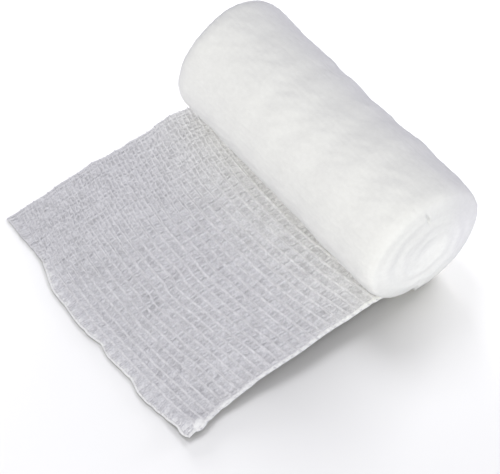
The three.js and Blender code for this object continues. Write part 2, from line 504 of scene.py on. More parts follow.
# %% Wind it
def wind(piece):
    """Sends the points of the cut cylinder to their places on the wound roll."""
    spots = points_of(piece)
    ring = np.rint((spots[:, 0] / ring_distance[-1] + 0.5) * (len(ring_across) - 1)).astype(int)
    angle = np.arctan2(spots[:, 2], spots[:, 1]) + math.pi / 2
    column = np.rint(angle / FULL_TURN * ROUND_COLUMNS).astype(int) % ROUND_COLUMNS
    wound = column * (FULL_TURN - STEP_SPAN) / (ROUND_COLUMNS - 1)
    across, share = ring_across[ring], ring_share[ring]

    on_side = soft_step(share, FACE_SHARE, 1)
    radius = share * winding_radius(across, wound, share)
    radius = radius + on_side * (side_relief(across, wound * ROLL_RADIUS) + damped_swell(across, wound))
    squash = np.sqrt(1 + (HEART_STRETCH - 1) * (1 - share) ** 2)
    turned = wound - STEP_BACK - math.pi / 2 - HEART_TILT
    level, upright = radius * np.cos(turned) * squash, radius * np.sin(turned) / squash
    back = level * math.cos(HEART_TILT) - upright * math.sin(HEART_TILT)
    rise = level * math.sin(HEART_TILT) + upright * math.cos(HEART_TILT)

    face_share = share / FACE_SHARE
    relief = np.where(face_share < 1, end_relief(np.minimum(face_share, 1), wound), 0)
    rim = np.where(across < 0, far_rim(wound / FULL_TURN), near_rim(wound / FULL_TURN))
    reach = np.clip(np.abs(across) / HALF_WIDTH, 0, 1) ** END_LEAN_FADE
    relief = relief + ring_relief(share, wound) * (np.abs(across) > HALF_WIDTH - RIM_ROUND)
    relief = relief + np.where((across > 0) & (share < SLIT_SHARE), slit_relief(back, rise), 0)
    out = relief + rim * reach * np.minimum(1, face_share)
    centre = roll_girth(across) - REST_SINK
    move_points(piece, across + np.sign(across) * out, back * ROLL_OVAL, np.maximum(0, centre + rise))


wind(wound_cloth)
print("wound to this many mm each way:", np.ptp(points_of(wound_cloth), axis=0).round(1))

# %% [markdown]
# ## Its map and its two poles
#
# The map follows the outline one way and the winding the other, in metres, so that a pattern has the same
# size all over. Each end ring has come to one spot and is merged there, which closes the skin. Then its
# faces can be turned outwards.

# %% Measure its map and close its two poles
MERGE_DISTANCE = 1e-6


def map_the_winding(spots):
    """The map runs along the outline one way and round the winding the other way."""
    ring = np.rint(spots[:, 1] * (len(ring_across) - 1)).astype(int)
    return np.stack([ring_distance[ring], spots[:, 0] * FULL_TURN * ROLL_RADIUS], axis=1)


change_uvs(wound_cloth, map_the_winding)
select_only(wound_cloth)
bpy.ops.object.mode_set(mode="EDIT")
bpy.ops.mesh.select_all(action="SELECT")
bpy.ops.mesh.remove_doubles(threshold=MERGE_DISTANCE)
bpy.ops.mesh.normals_make_consistent(inside=False)
bpy.ops.object.mode_set(mode="OBJECT")
smooth(wound_cloth)

# %% [markdown]
# ## The form of the loose end
#
# The strip leaves the underside of the roll, rises in a low arch that lifts its two selvedges about 3 mm,
# and comes down flat at the cut. These are again the sizes of the frame's solid: where the selvedges run,
# how high they are, where the cut lies, and a few low folds.

# %% Sizes of the loose end
LENGTH_ROWS = table(
    "along far near lift_far lift_near",
    (2, -36.0, 33.5, 0, 0),
    (9, -37.3, 35.2, 1.8, 2.2),
    (13, -37.6, 35.4, 2.1, 2.9),
    (18, -38.0, 35.8, 2.3, 3.1),
    (22, -37.4, 35.9, 2.3, 3.2),
    (25, -36.9, 35.8, 2.3, 3.1),
    (29, -37.1, 35.9, 2.2, 3.0),
    (34, -37.1, 36.1, 2.0, 2.7),
    (40, -37.7, 35.9, 1.6, 2.2),
    (46, -37.6, 35.7, 1.0, 1.5),
    (52, -37.5, 36.0, 0.5, 0.8),
    (57, -37.4, 36.2, 0.2, 0.2),
    (61, -37.1, 37.1, 0, 0),
    (63, -37.2, 37.6, 0, 0),
    (64, -37.3, 37.3, 0, 0),
    (67, -37.4, 37.7, 0, 0),
)
CUT_ROWS = table(
    "across reach",
    (-37.4, 64.8),
    (-33, 64.8),
    (-28, 64.8),
    (-24, 65.0),
    (-22, 65.0),
    (-18, 66.3),
    (-14, 67.6),
    (-8, 67.9),
    (0, 68.2),
    (5, 67.4),
    (10, 68.0),
    (17, 67.5),
    (22, 68.1),
    (29, 67.3),
    (33, 66.5),
    (35.5, 66.6),
    (37.5, 66.2),
)
FOLD_ROWS = table(
    "across along length width turn height",
    (-22, 59, 8, 4, -0.9, 0.5),
    (8, 34, 22, 6, 0.3, 0.5),
    (-15, 26, 20, 6, -0.25, -0.5),
    (25, 50, 13, 4, 0.15, 0.5),
    (34.5, 63, 4, 2, 0.5, 1.0),
)
EDGE_CURL = 0.8
EDGE_CURL_WIDTH = 3
EDGE_CURL_START = 8
FAR_WAVE = (0.2, 2.1, 43)
CUT_WAVE = (0.18, 1.7, 44)
SHEET_START = STEP_BACK * ROLL_RADIUS + CLEARANCE
CORNER_FROM = 35.2
CORNER_SPAN = 2.3
CORNER_ROUND = 0.2

far_line = smooth_line(LENGTH_ROWS, "along", "far")
near_selvedge = smooth_line(LENGTH_ROWS, "along", "near")
far_lift = smooth_line(LENGTH_ROWS, "along", "lift_far")
near_lift = smooth_line(LENGTH_ROWS, "along", "lift_near")
cut_line = smooth_line(CUT_ROWS, "across", "reach")

print("the near selvedge rises by", max(row["lift_near"] for row in LENGTH_ROWS), "mm at most")


# %% Read the form of the loose end
def far_selvedge(along):
    """The far selvedge pulls in a little between its cross yarns."""
    along = np.asarray(along, float)
    return far_line(along) + unevenness(along, along * 0, FAR_WAVE)


def cut_reach(across):
    """How far the cut lies in front of the roll's middle, with the small waves of its end yarns."""
    across = np.asarray(across, float)
    return cut_line(across) + unevenness(across, across * 0, CUT_WAVE)


def cloth_lift(across, along):
    """Height of the underside of the loose end, kept below the roll where it passes under it."""
    lift = blend(far_lift(along), near_lift(along), soft_step(across, -HALF_WIDTH, HALF_WIDTH))
    for fold in FOLD_ROWS:
        right, on = across - fold["across"], along - fold["along"]
        cosine, sine = math.cos(fold["turn"]), math.sin(fold["turn"])
        over, down = right * cosine + on * sine, on * cosine - right * sine
        lift = lift + fold["height"] * bell(down, fold["length"]) * bell(over, fold["width"])
    curl = np.clip(1 - (near_selvedge(along) - across) / EDGE_CURL_WIDTH, 0, 1)
    lift = lift + EDGE_CURL * curl**2 * np.clip((along - EDGE_CURL_START) / EDGE_CURL_START, 0, 1)
    headroom = roll_underside(across, along) - CLEARANCE - CLOTH
    return np.maximum(0, np.where(along < ROLL_RADIUS, np.minimum(lift, headroom), lift))


def cloth_end(across):
    """Where the cloth ends, with its front corner rounded off."""
    return cut_reach(across) - CORNER_ROUND * np.clip((across - CORNER_FROM) / CORNER_SPAN, 0, 1) ** 2


def cloth_across(share, along):
    """From a share of the strip's width to millimetres across."""
    return blend(far_selvedge(along), near_selvedge(along), share)


print("the cut lies", round(float(cut_reach(0.0)), 1), "mm in front of the middle of the roll")

# %% [markdown]
# ## How the weave lies
#
# The cross yarns aren't straight. They bow towards the cut in the middle, lie wider apart near the roll,
# and run in pairs: far from the camera the two of a pair lie evenly, and towards the near selvedge they
# close up to one bright line. A snag pulls a few out of line. The yarns along the strip lie in loose pairs
# too. The yarns and the film read their places from the same functions, so that they agree about each
# crossing. A stride is how far apart neighbouring yarns read the unevenness, so that no two wander alike.

# %% Sizes of the weave
PAIR_START = 3.0
PAIR_SPACING = 2.75
PAIR_CLOSING = 0.0125
PAIR_LIMIT = PAIR_SPACING / PAIR_CLOSING
LAST_CROWN = 0.4 * PAIR_LIMIT
FAR_BOW = 3.2
FAR_BOW_FROM = 2
FAR_BOW_SPAN = 32
NEAR_BOW = 5.1
NEAR_BOW_EASE = 0.047
NEAR_BOW_FROM = 6
NEAR_BOW_SPAN = 28
NEAR_BOW_POWER = 1.5
PAIR_SPREAD_FAR = 1.0
PAIR_SPREAD_NEAR = 0.26
SPREAD_FROM = -24
SPREAD_TO = -8
WARP_COUNT = 52
WARP_PAIRING = 0.14
SNAG_PULL = 0.85
SNAG_ACROSS = 4.6
SNAG_ALONG = 46
SNAG_BEFORE = 4
SNAG_SPAN = 9
PAIR_WANDER = (0.16, 6, 31)
YARN_WANDER = (0.08, 2.4, 32)
WARP_WANDER = (0.25, 7, 33)
WEFT_STRIDE = 3
WARP_STRIDE = 1.7
PAST_THE_CUT = 2.2

print("the pairs of cross yarns start", PAIR_SPACING, "mm apart")


# %% Places of the yarns
def pair_place(pair):
    """Where the middle of a pair lies on the crown of the bow."""
    return PAIR_LIMIT - (PAIR_LIMIT - PAIR_START) * np.exp(-PAIR_CLOSING * pair)


def pair_at(place):
    """Which pair lies at a place on the crown of the bow, as a number with a fraction."""
    return -np.log((PAIR_LIMIT - place) / (PAIR_LIMIT - PAIR_START)) / PAIR_CLOSING


def weft_bow(across, place):
    """How far a cross yarn lies behind the crown of its bow."""
    far = FAR_BOW * (np.maximum(0, FAR_BOW_FROM - across) / FAR_BOW_SPAN) ** 2
    near_share = np.maximum(0, across - NEAR_BOW_FROM) / NEAR_BOW_SPAN
    near = (NEAR_BOW - NEAR_BOW_EASE * place) * near_share**NEAR_BOW_POWER
    rise = soft_step(across, SNAG_ACROSS - SNAG_BEFORE, SNAG_ACROSS)
    steep = rise * (1 - soft_step(across, SNAG_ACROSS, SNAG_ACROSS + SNAG_SPAN))
    return far + near - SNAG_PULL * steep * bell(place - SNAG_ALONG, SNAG_SPAN)


def pair_spread(across):
    """How far apart the two yarns of a pair lie: 1 when all the cross yarns are evenly spaced."""
    return blend(PAIR_SPREAD_FAR, PAIR_SPREAD_NEAR, soft_step(across, SPREAD_FROM, SPREAD_TO))


def weft_place(pair, member, across):
    """How far along the strip a cross yarn lies. The member of a pair is -1 or 1."""
    crown = pair_place(pair)
    spacing = PAIR_SPACING - PAIR_CLOSING * crown
    wander = unevenness(across, crown, PAIR_WANDER)
    wander = wander + unevenness(across, crown * WEFT_STRIDE + member, YARN_WANDER)
    return crown + member * spacing / 4 * pair_spread(across) - weft_bow(across, crown) + wander


def warp_share(number, along):
    """Which share of the strip's width a lengthwise yarn lies at."""
    member = np.where(number % 2 < 1, 1, -1)
    wander = unevenness(number * WARP_STRIDE, along, WARP_WANDER)
    return (number + 0.5 + member * WARP_PAIRING + wander) / WARP_COUNT


pair_count = int(pair_at(cut_reach(0.0) + PAST_THE_CUT)) + 1
print(pair_count, "pairs of cross yarns and", WARP_COUNT, "lengthwise yarns")

# %% [markdown]
# ## The film of the loose end
#
# Between the yarns of real gauze lies a haze of fine fibres, and through its gaps the floor shows in the
# cloth's shade. Both are made as one film just under the yarns, sunk a little in each gap of the weave and
# thinned out in a few gaps that have been pulled open. How open it is at a point goes into an attribute,
# which the film's material reads for its colour, with painted shade in the gaps.

# %% Film sizes
FILM_COLUMNS = 140
FILM_ROWS = 280
FILM_HEIGHT = 0.34
FILM_THICKNESS = 0.22
FILM_SINK = 0.12
FILM_EDGE_DROP = 0.2
FILM_EDGE_WIDE = 1.2
CLOSED_BY_CUT = 0.25
BY_CUT_FROM = 42
BY_CUT_TO = 58
ROLLED_FROM = -25
ROLLED_TO = -20
CUT_ROUGH = (0.5, 1.6, 40)
GAP_BY_WEFT = (0.24, 0.5)
GAP_BY_WARP = (0.12, 0.45)
GAP_NEAR = 0.75
WIDEST_GAP = 1.6
PATCHES = ((0.5, 1.1, 34), (0.25, 5, 35))
USUAL_GAP = 0.62
BY_SELVEDGE = table("strength wide", (0.9, 1.3), (0.3, 3.2))
BY_CUT = table("strength wide", (0.75, 0.9), (0.2, 2.6))
OPEN_GAPS = table(
    "across along wide long open",
    (1.9, 51.4, 0.45, 0.9, 1.0),
    (4.6, 51.8, 0.6, 1.1, 1.3),
    (4.7, 53.9, 0.45, 0.8, 1.2),
    (6.8, 51.9, 0.5, 0.7, 0.9),
    (6.6, 53.8, 0.5, 0.7, 0.8),
    (-19, 58.6, 0.5, 0.6, 0.8),
    (-19, 60.6, 0.5, 0.8, 1.0),
    (-27.4, 61.6, 0.8, 0.4, 0.8),
    (-27, 63.1, 0.5, 0.4, 0.8),
    (30.6, 23.4, 0.6, 0.6, 1.0),
    (29.6, 26, 0.6, 0.5, 0.7),
    (31.4, 28.3, 0.4, 0.8, 1.0),
    (25.7, 66.4, 0.5, 0.5, 1.0),
    (26, 61.3, 0.4, 1.0, 0.7),
    (24.1, 12.7, 0.3, 0.9, 0.8),
    (10.2, 32, 0.3, 1.2, 0.7),
)

print(len(OPEN_GAPS), "gaps are open wider than the rest")


# %% How open the weave is
def edge_density(across, along):
    """How much denser the cloth is near its edges, where the yarns turn back or have been pushed together."""
    near = near_selvedge(along) - across
    cut = cloth_end(across) - along
    rolled = soft_step(across, ROLLED_FROM, ROLLED_TO) * (1 + unevenness(across, along, CUT_ROUGH))
    by_selvedge = sum(row["strength"] * bell(near, row["wide"]) for row in BY_SELVEDGE)
    return by_selvedge + rolled * sum(row["strength"] * bell(cut, row["wide"]) for row in BY_CUT)


def openness(across, along):
    """How open the weave is: 0 where a yarn lies, about 0.5 in a gap, and 1 or more in the widest."""
    crown = along + weft_bow(across, along)
    crown = np.clip(along + weft_bow(across, crown), 0, LAST_CROWN)
    pair = pair_at(crown)
    spacing = PAIR_SPACING - PAIR_CLOSING * crown
    from_weft = np.abs(np.abs(pair - np.rint(pair)) - pair_spread(across) / 4) * spacing
    warp = (across - far_selvedge(along)) / (near_selvedge(along) - far_selvedge(along)) * WARP_COUNT
    from_warp = np.abs(warp - np.floor(warp) - 0.5) * BANDAGE_WIDTH / WARP_COUNT
    between = soft_step(from_weft, *GAP_BY_WEFT) * soft_step(from_warp, *GAP_BY_WARP)
    near = soft_step(across, SPREAD_FROM, SPREAD_TO)
    patch = USUAL_GAP + sum(unevenness(across, along, hills) for hills in PATCHES)
    closed = 1 - CLOSED_BY_CUT * soft_step(along, BY_CUT_FROM, BY_CUT_TO)
    level = between * patch * closed * blend(1, GAP_NEAR, near)
    for gap in OPEN_GAPS:
        spot = bell(across - gap["across"], gap["wide"]) * bell(along - gap["along"], gap["long"])
        level = level + gap["open"] * spot
    return np.clip(level, 0, WIDEST_GAP) - edge_density(across, along)


middle = openness(np.linspace(-20, 20, 400), 40.0)
print("half way along the cloth the weave is up to", middle.max().round(2), "open")

# %% [markdown]
# ## Shape the film
#
# Each point of a flat grid is told by its share of the width and of the length, so the grid fills the
# uneven outline between the selvedges, the roll and the cut. A Solidify modifier then makes a closed sheet
# of it. An offset of 0 adds as much above as below.

# %% Shape the film
film, grid = add_grid("film", FILM_COLUMNS, FILM_ROWS)
film_share = grid[:, 0] + 0.5
film_on = 0.5 - grid[:, 1]
film_along = blend(SHEET_START, cloth_end((film_share - 0.5) * BANDAGE_WIDTH), film_on)
film_across = cloth_across(film_share, film_along)
film_open = openness(film_across, film_along)
film_low = FILM_EDGE_DROP * bell(cloth_end(film_across) - film_along, FILM_EDGE_WIDE)
film_up = cloth_lift(film_across, film_along) + FILM_HEIGHT - film_low - FILM_SINK * film_open
move_points(film, film_across, -film_along, film_up)
film.data.attributes.new("open", "FLOAT", "POINT").data.foreach_set("value", film_open)
change_uvs(film, lambda spots: spots * (BANDAGE_WIDTH, cut_reach(0.0)))
print("the film's openness runs from", film_open.min().round(2), "to", film_open.max().round(2))

# %% Give it its thickness
thicken(film, FILM_THICKNESS, 0)

# %% [markdown]
# ## The cross yarns
#
# One yarn is made once: a thin rod with few sides, cut into short lengths. It is copied for each place and
# bent onto the folds. Each copy has its own mesh, because no two yarns have the same shape. At the end they
# are joined, as they are one cloth.

# %% Model one yarn
def spun_yarn(name, length, radius, sides, cuts):
    """A rod with closed ends, cut into short lengths."""
    yarn = add_rod(name, sides, radius, length, "NGON")
    cut_long_edges(yarn, length / 2, cuts)
    change_uvs(yarn, lambda spots: spots * (FULL_TURN * radius * 2, length * 2))
    return yarn


def along_rod(rod):
    """The points of a straight rod, and the share of its length that each lies at."""
    spots = points_of(rod)
    return spots, spots[:, 0] / BANDAGE_WIDTH + 0.5


def weave(name, rod, lay, places):
    """Lays a copy of the rod, with its own mesh, at each place, and joins the copies as one piece."""
    yarns = []
    for place in places:
        yarn = rod.copy()
        yarn.data = rod.data.copy()
        bpy.context.collection.objects.link(yarn)
        lay(yarn, *place)
        yarns.append(yarn)
    bpy.data.objects.remove(rod)
    select_only(*yarns)
    bpy.ops.object.join()
    joined = bpy.context.object
    joined.name = joined.data.name = name
    smooth(joined)
    return joined


print("one yarn is a rod of", BANDAGE_WIDTH, "mm")

# %% [markdown]
# ## Weave in the cross yarns
#
# Each goes over one lengthwise yarn and under the next. Far from the camera the yarns also sway round them,
# which gives the chequered look there. Towards the near selvedge they lie straight and a little higher, as
# bright lines, and by the cut they have settled into the film.

# %% Weave in the cross yarns
WEFT_RADIUS = 0.15
WEFT_SIDES = 6
WEFT_MARGIN = 0.4
WEFT_SWELL = (0.22, 1.7, 36)
LAST_WEFT = 1.2
WEFT_CUTS = 196
WEFT_HEIGHT = 0.6
WEFT_RISE_NEAR = 0.08
WEFT_CRIMP_NEAR = 0.04
WEFT_CRIMP_FAR = 0.11
WEFT_SWAY_FAR = 0.11
WEFT_SETTLE = 0.1
SETTLE_FROM = 44
SETTLE_TO = 58


def on_the_cloth(along, across):
    """Keeps a cross yarn between the roll and the cut."""
    return np.clip(along, SHEET_START + WEFT_RADIUS, cloth_end(across) - WEFT_MARGIN)


def lay_weft(yarn, pair, member):
    """Bends a straight rod onto the cloth as one of the two cross yarns of a pair."""
    spots, share = along_rod(yarn)
    across = (share - 0.5) * BANDAGE_WIDTH
    for _ in range(2):
        along = on_the_cloth(weft_place(pair, member, across), across)
        across = cloth_across(share, along)
    near = soft_step(across, SPREAD_FROM, SPREAD_TO)
    crossing = math.pi * share * WARP_COUNT
    over = blend(WEFT_CRIMP_FAR, WEFT_CRIMP_NEAR, near) * member * np.cos(crossing)
    along = on_the_cloth(along + WEFT_SWAY_FAR * (1 - near) * member * np.sin(crossing), across)
    settle = WEFT_SETTLE * soft_step(along, SETTLE_FROM, SETTLE_TO)
    height = cloth_lift(across, along) + WEFT_HEIGHT + WEFT_RISE_NEAR * near - settle + over
    row = np.full_like(across, pair * 2.0 + member)
    swell = 1 + unevenness(across, row, WEFT_SWELL)
    move_points(yarn, across, -along + spots[:, 1] * swell, height + spots[:, 2] * swell)


first_weft = spun_yarn("weft", BANDAGE_WIDTH, WEFT_RADIUS, WEFT_SIDES, WEFT_CUTS)
last_place = cut_reach(0.0) - LAST_WEFT
wefts = [(pair, member) for pair in range(pair_count) for member in (-1, 1)]
wefts = [weft for weft in wefts if weft_place(*weft, 0.0) < last_place]
cross_yarns = weave("cross_yarns", first_weft, lay_weft, wefts)
print("they are", len(wefts), "yarns")

# %% [markdown]
# ## The lengthwise yarns
#
# These give the bandage its stretch. Each is two soft strands twisted round each other, so it shows as a
# wavy band, wider, flatter and duller than a cross yarn. A strand is again a copy of one rod, which swings
# to both sides and up and down round its twin.

# %% Weave in the lengthwise yarns
STRAND_WIDE = 0.26
STRAND_FLAT = 0.45
STRAND_APART = 0.2
STRAND_TURN = 1.15
STRAND_SIDES = 6
STRAND_WANDER = (0.14, 1.5, 37)
STRAND_SWELL = (0.35, 1.2, 38)
TWIST_WANDER = (1, 3, 39)
TWIST_STRIDE = 1.9
STRAND_STRIDE = 1.3
TWIN_STRIDE = 0.4
STRAND_MARGIN = 0.3
WARP_CUTS = 156
WARP_HEIGHT = 0.45
USUAL_REACH = 60
WARP_CRIMP = 0.07


def lay_warp(yarn, number, member):
    """Bends a straight rod onto the cloth as one of the two strands of a lengthwise yarn."""
    spots, on = along_rod(yarn)
    straight = (warp_share(number, on * USUAL_REACH) - 0.5) * BANDAGE_WIDTH
    along = blend(SHEET_START + WEFT_RADIUS, cloth_end(straight) - STRAND_MARGIN, on)
    centre = cloth_across(warp_share(number, along), along)
    place = np.full_like(along, number * STRAND_STRIDE + member * TWIN_STRIDE)
    ply = FULL_TURN * along / (2 * STRAND_TURN) + number * TWIST_STRIDE
    ply = ply + unevenness(along, place, TWIST_WANDER)
    sway = member * STRAND_APART * np.sin(ply) + unevenness(along, place, STRAND_WANDER)
    swell = 1 + unevenness(along, place, STRAND_SWELL)
    height = cloth_lift(centre, along) + WARP_HEIGHT + member * WARP_CRIMP * np.cos(ply)
    move_points(yarn, centre + sway + spots[:, 1] * swell, -along, height + spots[:, 2] * STRAND_FLAT)


first_warp = spun_yarn("warp", BANDAGE_WIDTH, STRAND_WIDE, STRAND_SIDES, WARP_CUTS)
strands = [(number, member) for number in range(WARP_COUNT) for member in (-1, 1)]
long_yarns = weave("long_yarns", first_warp, lay_warp, strands)

# %% [markdown]
# ## The edges
#
# The near selvedge curls up and is thick with yarn, so it shows as a bright band. The far one is thin. At
# the cut the last cross yarns have rolled up into a soft rim, except near the far corner. Each edge is a
# rod, pressed flat and bent along its line, with a width that changes on the way.

# %% Lines of the edges
EDGE_CUTS = 200
EDGE_SIDES = 12
EDGE_STEP = 0.002
EDGE_TAPER = 120
EDGE_TIP = 0.02
EDGE_LOWEST = 0.01
EDGE_ROUGH = (0.2, 1.1, 41)
NEAR_INSET, NEAR_END = 0.5, 63.6
FAR_INSET, FAR_END = 0.25, 65.4
CUT_INSET, CUT_FROM, CUT_TO = 0.3, -21.5, 36.2
EDGE_ROWS = table(
    "name radius swell waves flat height",
    ("near_selvedge", 0.5, 0.08, 9, 0.6, 0.5),
    ("far_selvedge", 0.25, 0, 0, 0.7, 0.45),
    ("cut_edge", 0.3, 0.08, 21, 0.7, 0.27),
)


def by_near_selvedge(share):
    """Across and along the strip, at a share of the way down its near selvedge."""
    along = blend(SHEET_START, NEAR_END, np.clip(share, 0, 1))
    return near_selvedge(along) - NEAR_INSET, along


def by_far_selvedge(share):
    """The same for its far selvedge."""
    along = blend(SHEET_START, FAR_END, np.clip(share, 0, 1)) - share
    return far_selvedge(along) + FAR_INSET, along


def by_cut(share):
    """The same for the cut, from its far side to its near side."""
    across = blend(CUT_FROM, CUT_TO, np.clip(share, 0, 1))
    return across, cloth_end(across) - CUT_INSET


edge_lines = (by_near_selvedge, by_far_selvedge, by_cut)
middles = [np.round(line(0.5), 1).tolist() for line in edge_lines]
print("the middles of the edges lie at", middles, "mm across and along")


# %% Model the edges
def bend_edge(row, line):
    """A flattened rod that follows a line on the cloth, with a width that changes on the way."""
    yarn = spun_yarn(row["name"], BANDAGE_WIDTH, 1.0, EDGE_SIDES, EDGE_CUTS)
    spots, share = along_rod(yarn)
    across, along = line(share)
    ahead, behind = line(share + EDGE_STEP), line(share - EDGE_STEP)
    lead_x, lead_y = ahead[0] - behind[0], ahead[1] - behind[1]
    size = np.hypot(lead_x, lead_y)
    ends = np.sqrt(np.clip(share * (1 - share) * EDGE_TAPER, EDGE_TIP, 1))
    rough = 1 + unevenness(share * USUAL_REACH, share * 0, EDGE_ROUGH)
    girth = (row["radius"] + row["swell"] * np.sin(share * row["waves"])) * ends * rough
    up = cloth_lift(across, along) + row["height"] + spots[:, 2] * girth * row["flat"]
    right = across + spots[:, 1] * girth * lead_y / size
    forward = -along + spots[:, 1] * girth * lead_x / size
    move_points(yarn, right, forward, np.maximum(up, EDGE_LOWEST))
    smooth(yarn)
    return yarn


near_edge, far_edge, cut_edge = [bend_edge(row, line) for row, line in zip(EDGE_ROWS, edge_lines)]

# %% [markdown]
# ## The folded corner
#
# At the front corner a small flap of the selvedge is turned over and stands up as a soft lump. It is made
# as one: a small grid rolled over itself, with half of it on the cloth and half coming back over it.

# %% Model the folded corner
FLAP_ACROSS = 36.0
FLAP_ALONG = 62.3
FLAP_LONG = 3.8
FLAP_WIDE = 2.8
FLAP_HIGH = 1.05
FLAP_CELLS = 36
FLAP_TURN = 1.25 * math.pi
FLAP_LEAN = 0.35
FLAP_BASE = 0.35
FLAP_LIFTED = 0.5
FLAP_TIP = 0.04
FLAP_ROUGH = (0.03, 0.7, 42)
FLAP_STRIDE = 3
FLAP_THICKNESS = 0.25

flap, grid = add_grid("corner_fold", FLAP_CELLS, FLAP_CELLS)
round_it, along_it = (grid[:, 0] + 0.5) * FLAP_TURN, grid[:, 1] * 2
taper = np.sqrt(np.clip(1 - along_it**2, FLAP_TIP, 1))
crease = 1 + unevenness(round_it, along_it * FLAP_STRIDE, FLAP_ROUGH)
flap_x = FLAP_ACROSS + FLAP_LEAN * along_it + FLAP_WIDE / 2 * np.cos(round_it) * taper * crease
flap_along = FLAP_ALONG + FLAP_LONG / 2 * along_it
flap_up = FLAP_BASE + FLAP_HIGH * np.sin(np.minimum(round_it, math.pi)) * taper * crease
move_points(flap, flap_x, -flap_along, cloth_lift(flap_x, flap_along) * FLAP_LIFTED + flap_up)
thicken(flap, FLAP_THICKNESS, -1)

# %% [markdown]
# ## Loose fibres
#
# Spun yarn is hairy. Short fibres stand out of it and cross the gaps, which makes the weave look soft. One
# hair is a thin three-sided rod. An Array modifier repeats it in one mesh, and each copy then gets its own
# place, direction, length and bend.

# %% Scatter the fibres
HAIR_COUNT = 4200
HAIR_RADIUS = 0.045
HAIR_HEIGHT = 0.56
HAIR_SHARE = (0.02, 0.98)
HAIR_ALONG = (9, 63)
HAIR_LONG = (0.9, 2.6)
HAIR_UP = (-0.08, 0.14)
HAIR_TURN = 0.9
HAIR_BEND = 0.5
HAIR_SEED = 51
HAIR_SIDES = 3
HAIR_CUTS = 3

hairs = spun_yarn("loose_fibres", 1.0, HAIR_RADIUS, HAIR_SIDES, HAIR_CUTS)
hair_points = len(hairs.data.vertices)
select_only(hairs)
repeat = hairs.modifiers.new("repeat", "ARRAY")
repeat.count = HAIR_COUNT
repeat.use_relative_offset = False
repeat.use_constant_offset = True
repeat.constant_offset_displace = (0, 0, MM)
bpy.ops.object.modifier_apply(modifier=repeat.name)
smooth(hairs)

spots = points_of(hairs).reshape(HAIR_COUNT, hair_points, 3)
spots[:, :, 2] -= np.arange(HAIR_COUNT)[:, None]
chance = np.random.default_rng(HAIR_SEED)
hair_size = (HAIR_COUNT, 1)
hair_share = chance.uniform(*HAIR_SHARE, hair_size)
hair_along = chance.uniform(*HAIR_ALONG, hair_size)
hair_turn = chance.normal(0, HAIR_TURN, hair_size) + math.pi / 2
hair_long = chance.uniform(*HAIR_LONG, hair_size)
hair_bend = chance.normal(0, HAIR_BEND, hair_size)
hair_up = chance.uniform(*HAIR_UP, hair_size)
run = spots[:, :, 0] * hair_long
turn = hair_turn + hair_bend * run
hair_x = cloth_across(hair_share, hair_along) + run * np.cos(turn) - spots[:, :, 1] * np.sin(turn)
hair_y = hair_along + run * np.sin(turn) + spots[:, :, 1] * np.cos(turn)
hair_z = cloth_lift(hair_x, hair_y) + HAIR_HEIGHT + hair_up + spots[:, :, 2]
move_points(hairs, hair_x.ravel(), -hair_y.ravel(), hair_z.ravel())
print("the fibres are", hair_long.min().round(2), "to", hair_long.max().round(2), "mm long")

# %% [markdown]
# ## Materials
#
# All the cloth is matt. Many layers are nearly white, a yarn on its own is a little greyer, and the haze
# between yarns greyer still, with painted shade in the gaps. Noise on the piece's own coordinates breaks up
# each colour, and a fine bump gives each surface its fibres. A colour may also change towards one side,
# along Z for low and along Y for back and front: that paints light low on the roll and by it, paints shade
# on the roll's back, and makes the cloth duller by the cut.

# %% Material helpers
CLOTH_ROUGHNESS = 0.95
CLOTH_SHINE = 0.2


def matt_material(name, colour):
    """A new matt material, with the links and the shader for further work."""
    material = bpy.data.materials.new(name)
    material.use_nodes = True
    shader = material.node_tree.nodes["Principled BSDF"]
    shader.inputs["Base Color"].default_value = (*colour, 1)
    shader.inputs["Roughness"].default_value = CLOTH_ROUGHNESS
    shader.inputs["Specular IOR Level"].default_value = CLOTH_SHINE
    return material, material.node_tree, shader


def add_node(tree, kind, source=None, target=None, **settings):
    """Adds a node, links a source to its target input, and sets its properties or its inputs."""
    node = tree.nodes.new(kind)
    for key, value in settings.items():
        if hasattr(node, key):
            setattr(node, key, value)
        else:
            node.inputs[key.replace("_", " ").title()].default_value = value
    if source is not None:
        tree.links.new(source, node.inputs[target])
    return node


def place_in(tree):
    """The piece's own coordinates, in metres."""
    return add_node(tree, "ShaderNodeTexCoord").outputs["Object"]


def noise_in(tree, scale, detail=2):
    """Noise on the piece's own coordinates."""
    noise = add_node(tree, "ShaderNodeTexNoise", place_in(tree), "Vector", scale=scale, detail=detail)
    return noise.outputs["Fac"]


def spread(tree, value, **ends):
    """Stretches a value from one range to another."""
    return add_node(tree, "ShaderNodeMapRange", value, "Value", **ends).outputs["Result"]


print("matt cloth has a roughness of", CLOTH_ROUGHNESS)


# %% Helpers for tones and fibres
def mixed(tree, factor, low, high, **settings):
    """A colour between two others, of which the low one may come from another node."""
    mix = add_node(tree, "ShaderNodeMix", factor, "Factor", data_type="RGBA", **settings)
    if isinstance(low, tuple):
        mix.inputs["A"].default_value = (*low, 1)
    else:
        tree.links.new(low, mix.inputs["A"])
    mix.inputs["B"].default_value = (*high, 1)
    return mix.outputs["Result"]


def toned(tree, shader, colour, *sides):
    """Multiplies a colour by a gain towards some sides of the piece, which paints light or shade there or
    dulls it, and gives it to the shader.
    """
    for side in sides:
        split = add_node(tree, "ShaderNodeSeparateXYZ", place_in(tree), "Vector")
        ends = {"from_min": side["start"], "from_max": side["end"], "interpolation_type": "SMOOTHSTEP"}
        near = spread(tree, split.outputs[side["axis"]], **ends)
        colour = mixed(tree, near, colour, side["gain"], blend_type="MULTIPLY", clamp_result=True)
    tree.links.new(colour, shader.inputs["Base Color"])


def fibre_bump(tree, shader, scale, strength, distance):
    """A fine irregular bump, as loose fibres give."""
    noise = noise_in(tree, scale, 3)
    bump = add_node(tree, "ShaderNodeBump", noise, "Height", strength=strength, distance=distance)
    tree.links.new(bump.outputs["Normal"], shader.inputs["Normal"])


print("bump and tones are measured in metres")
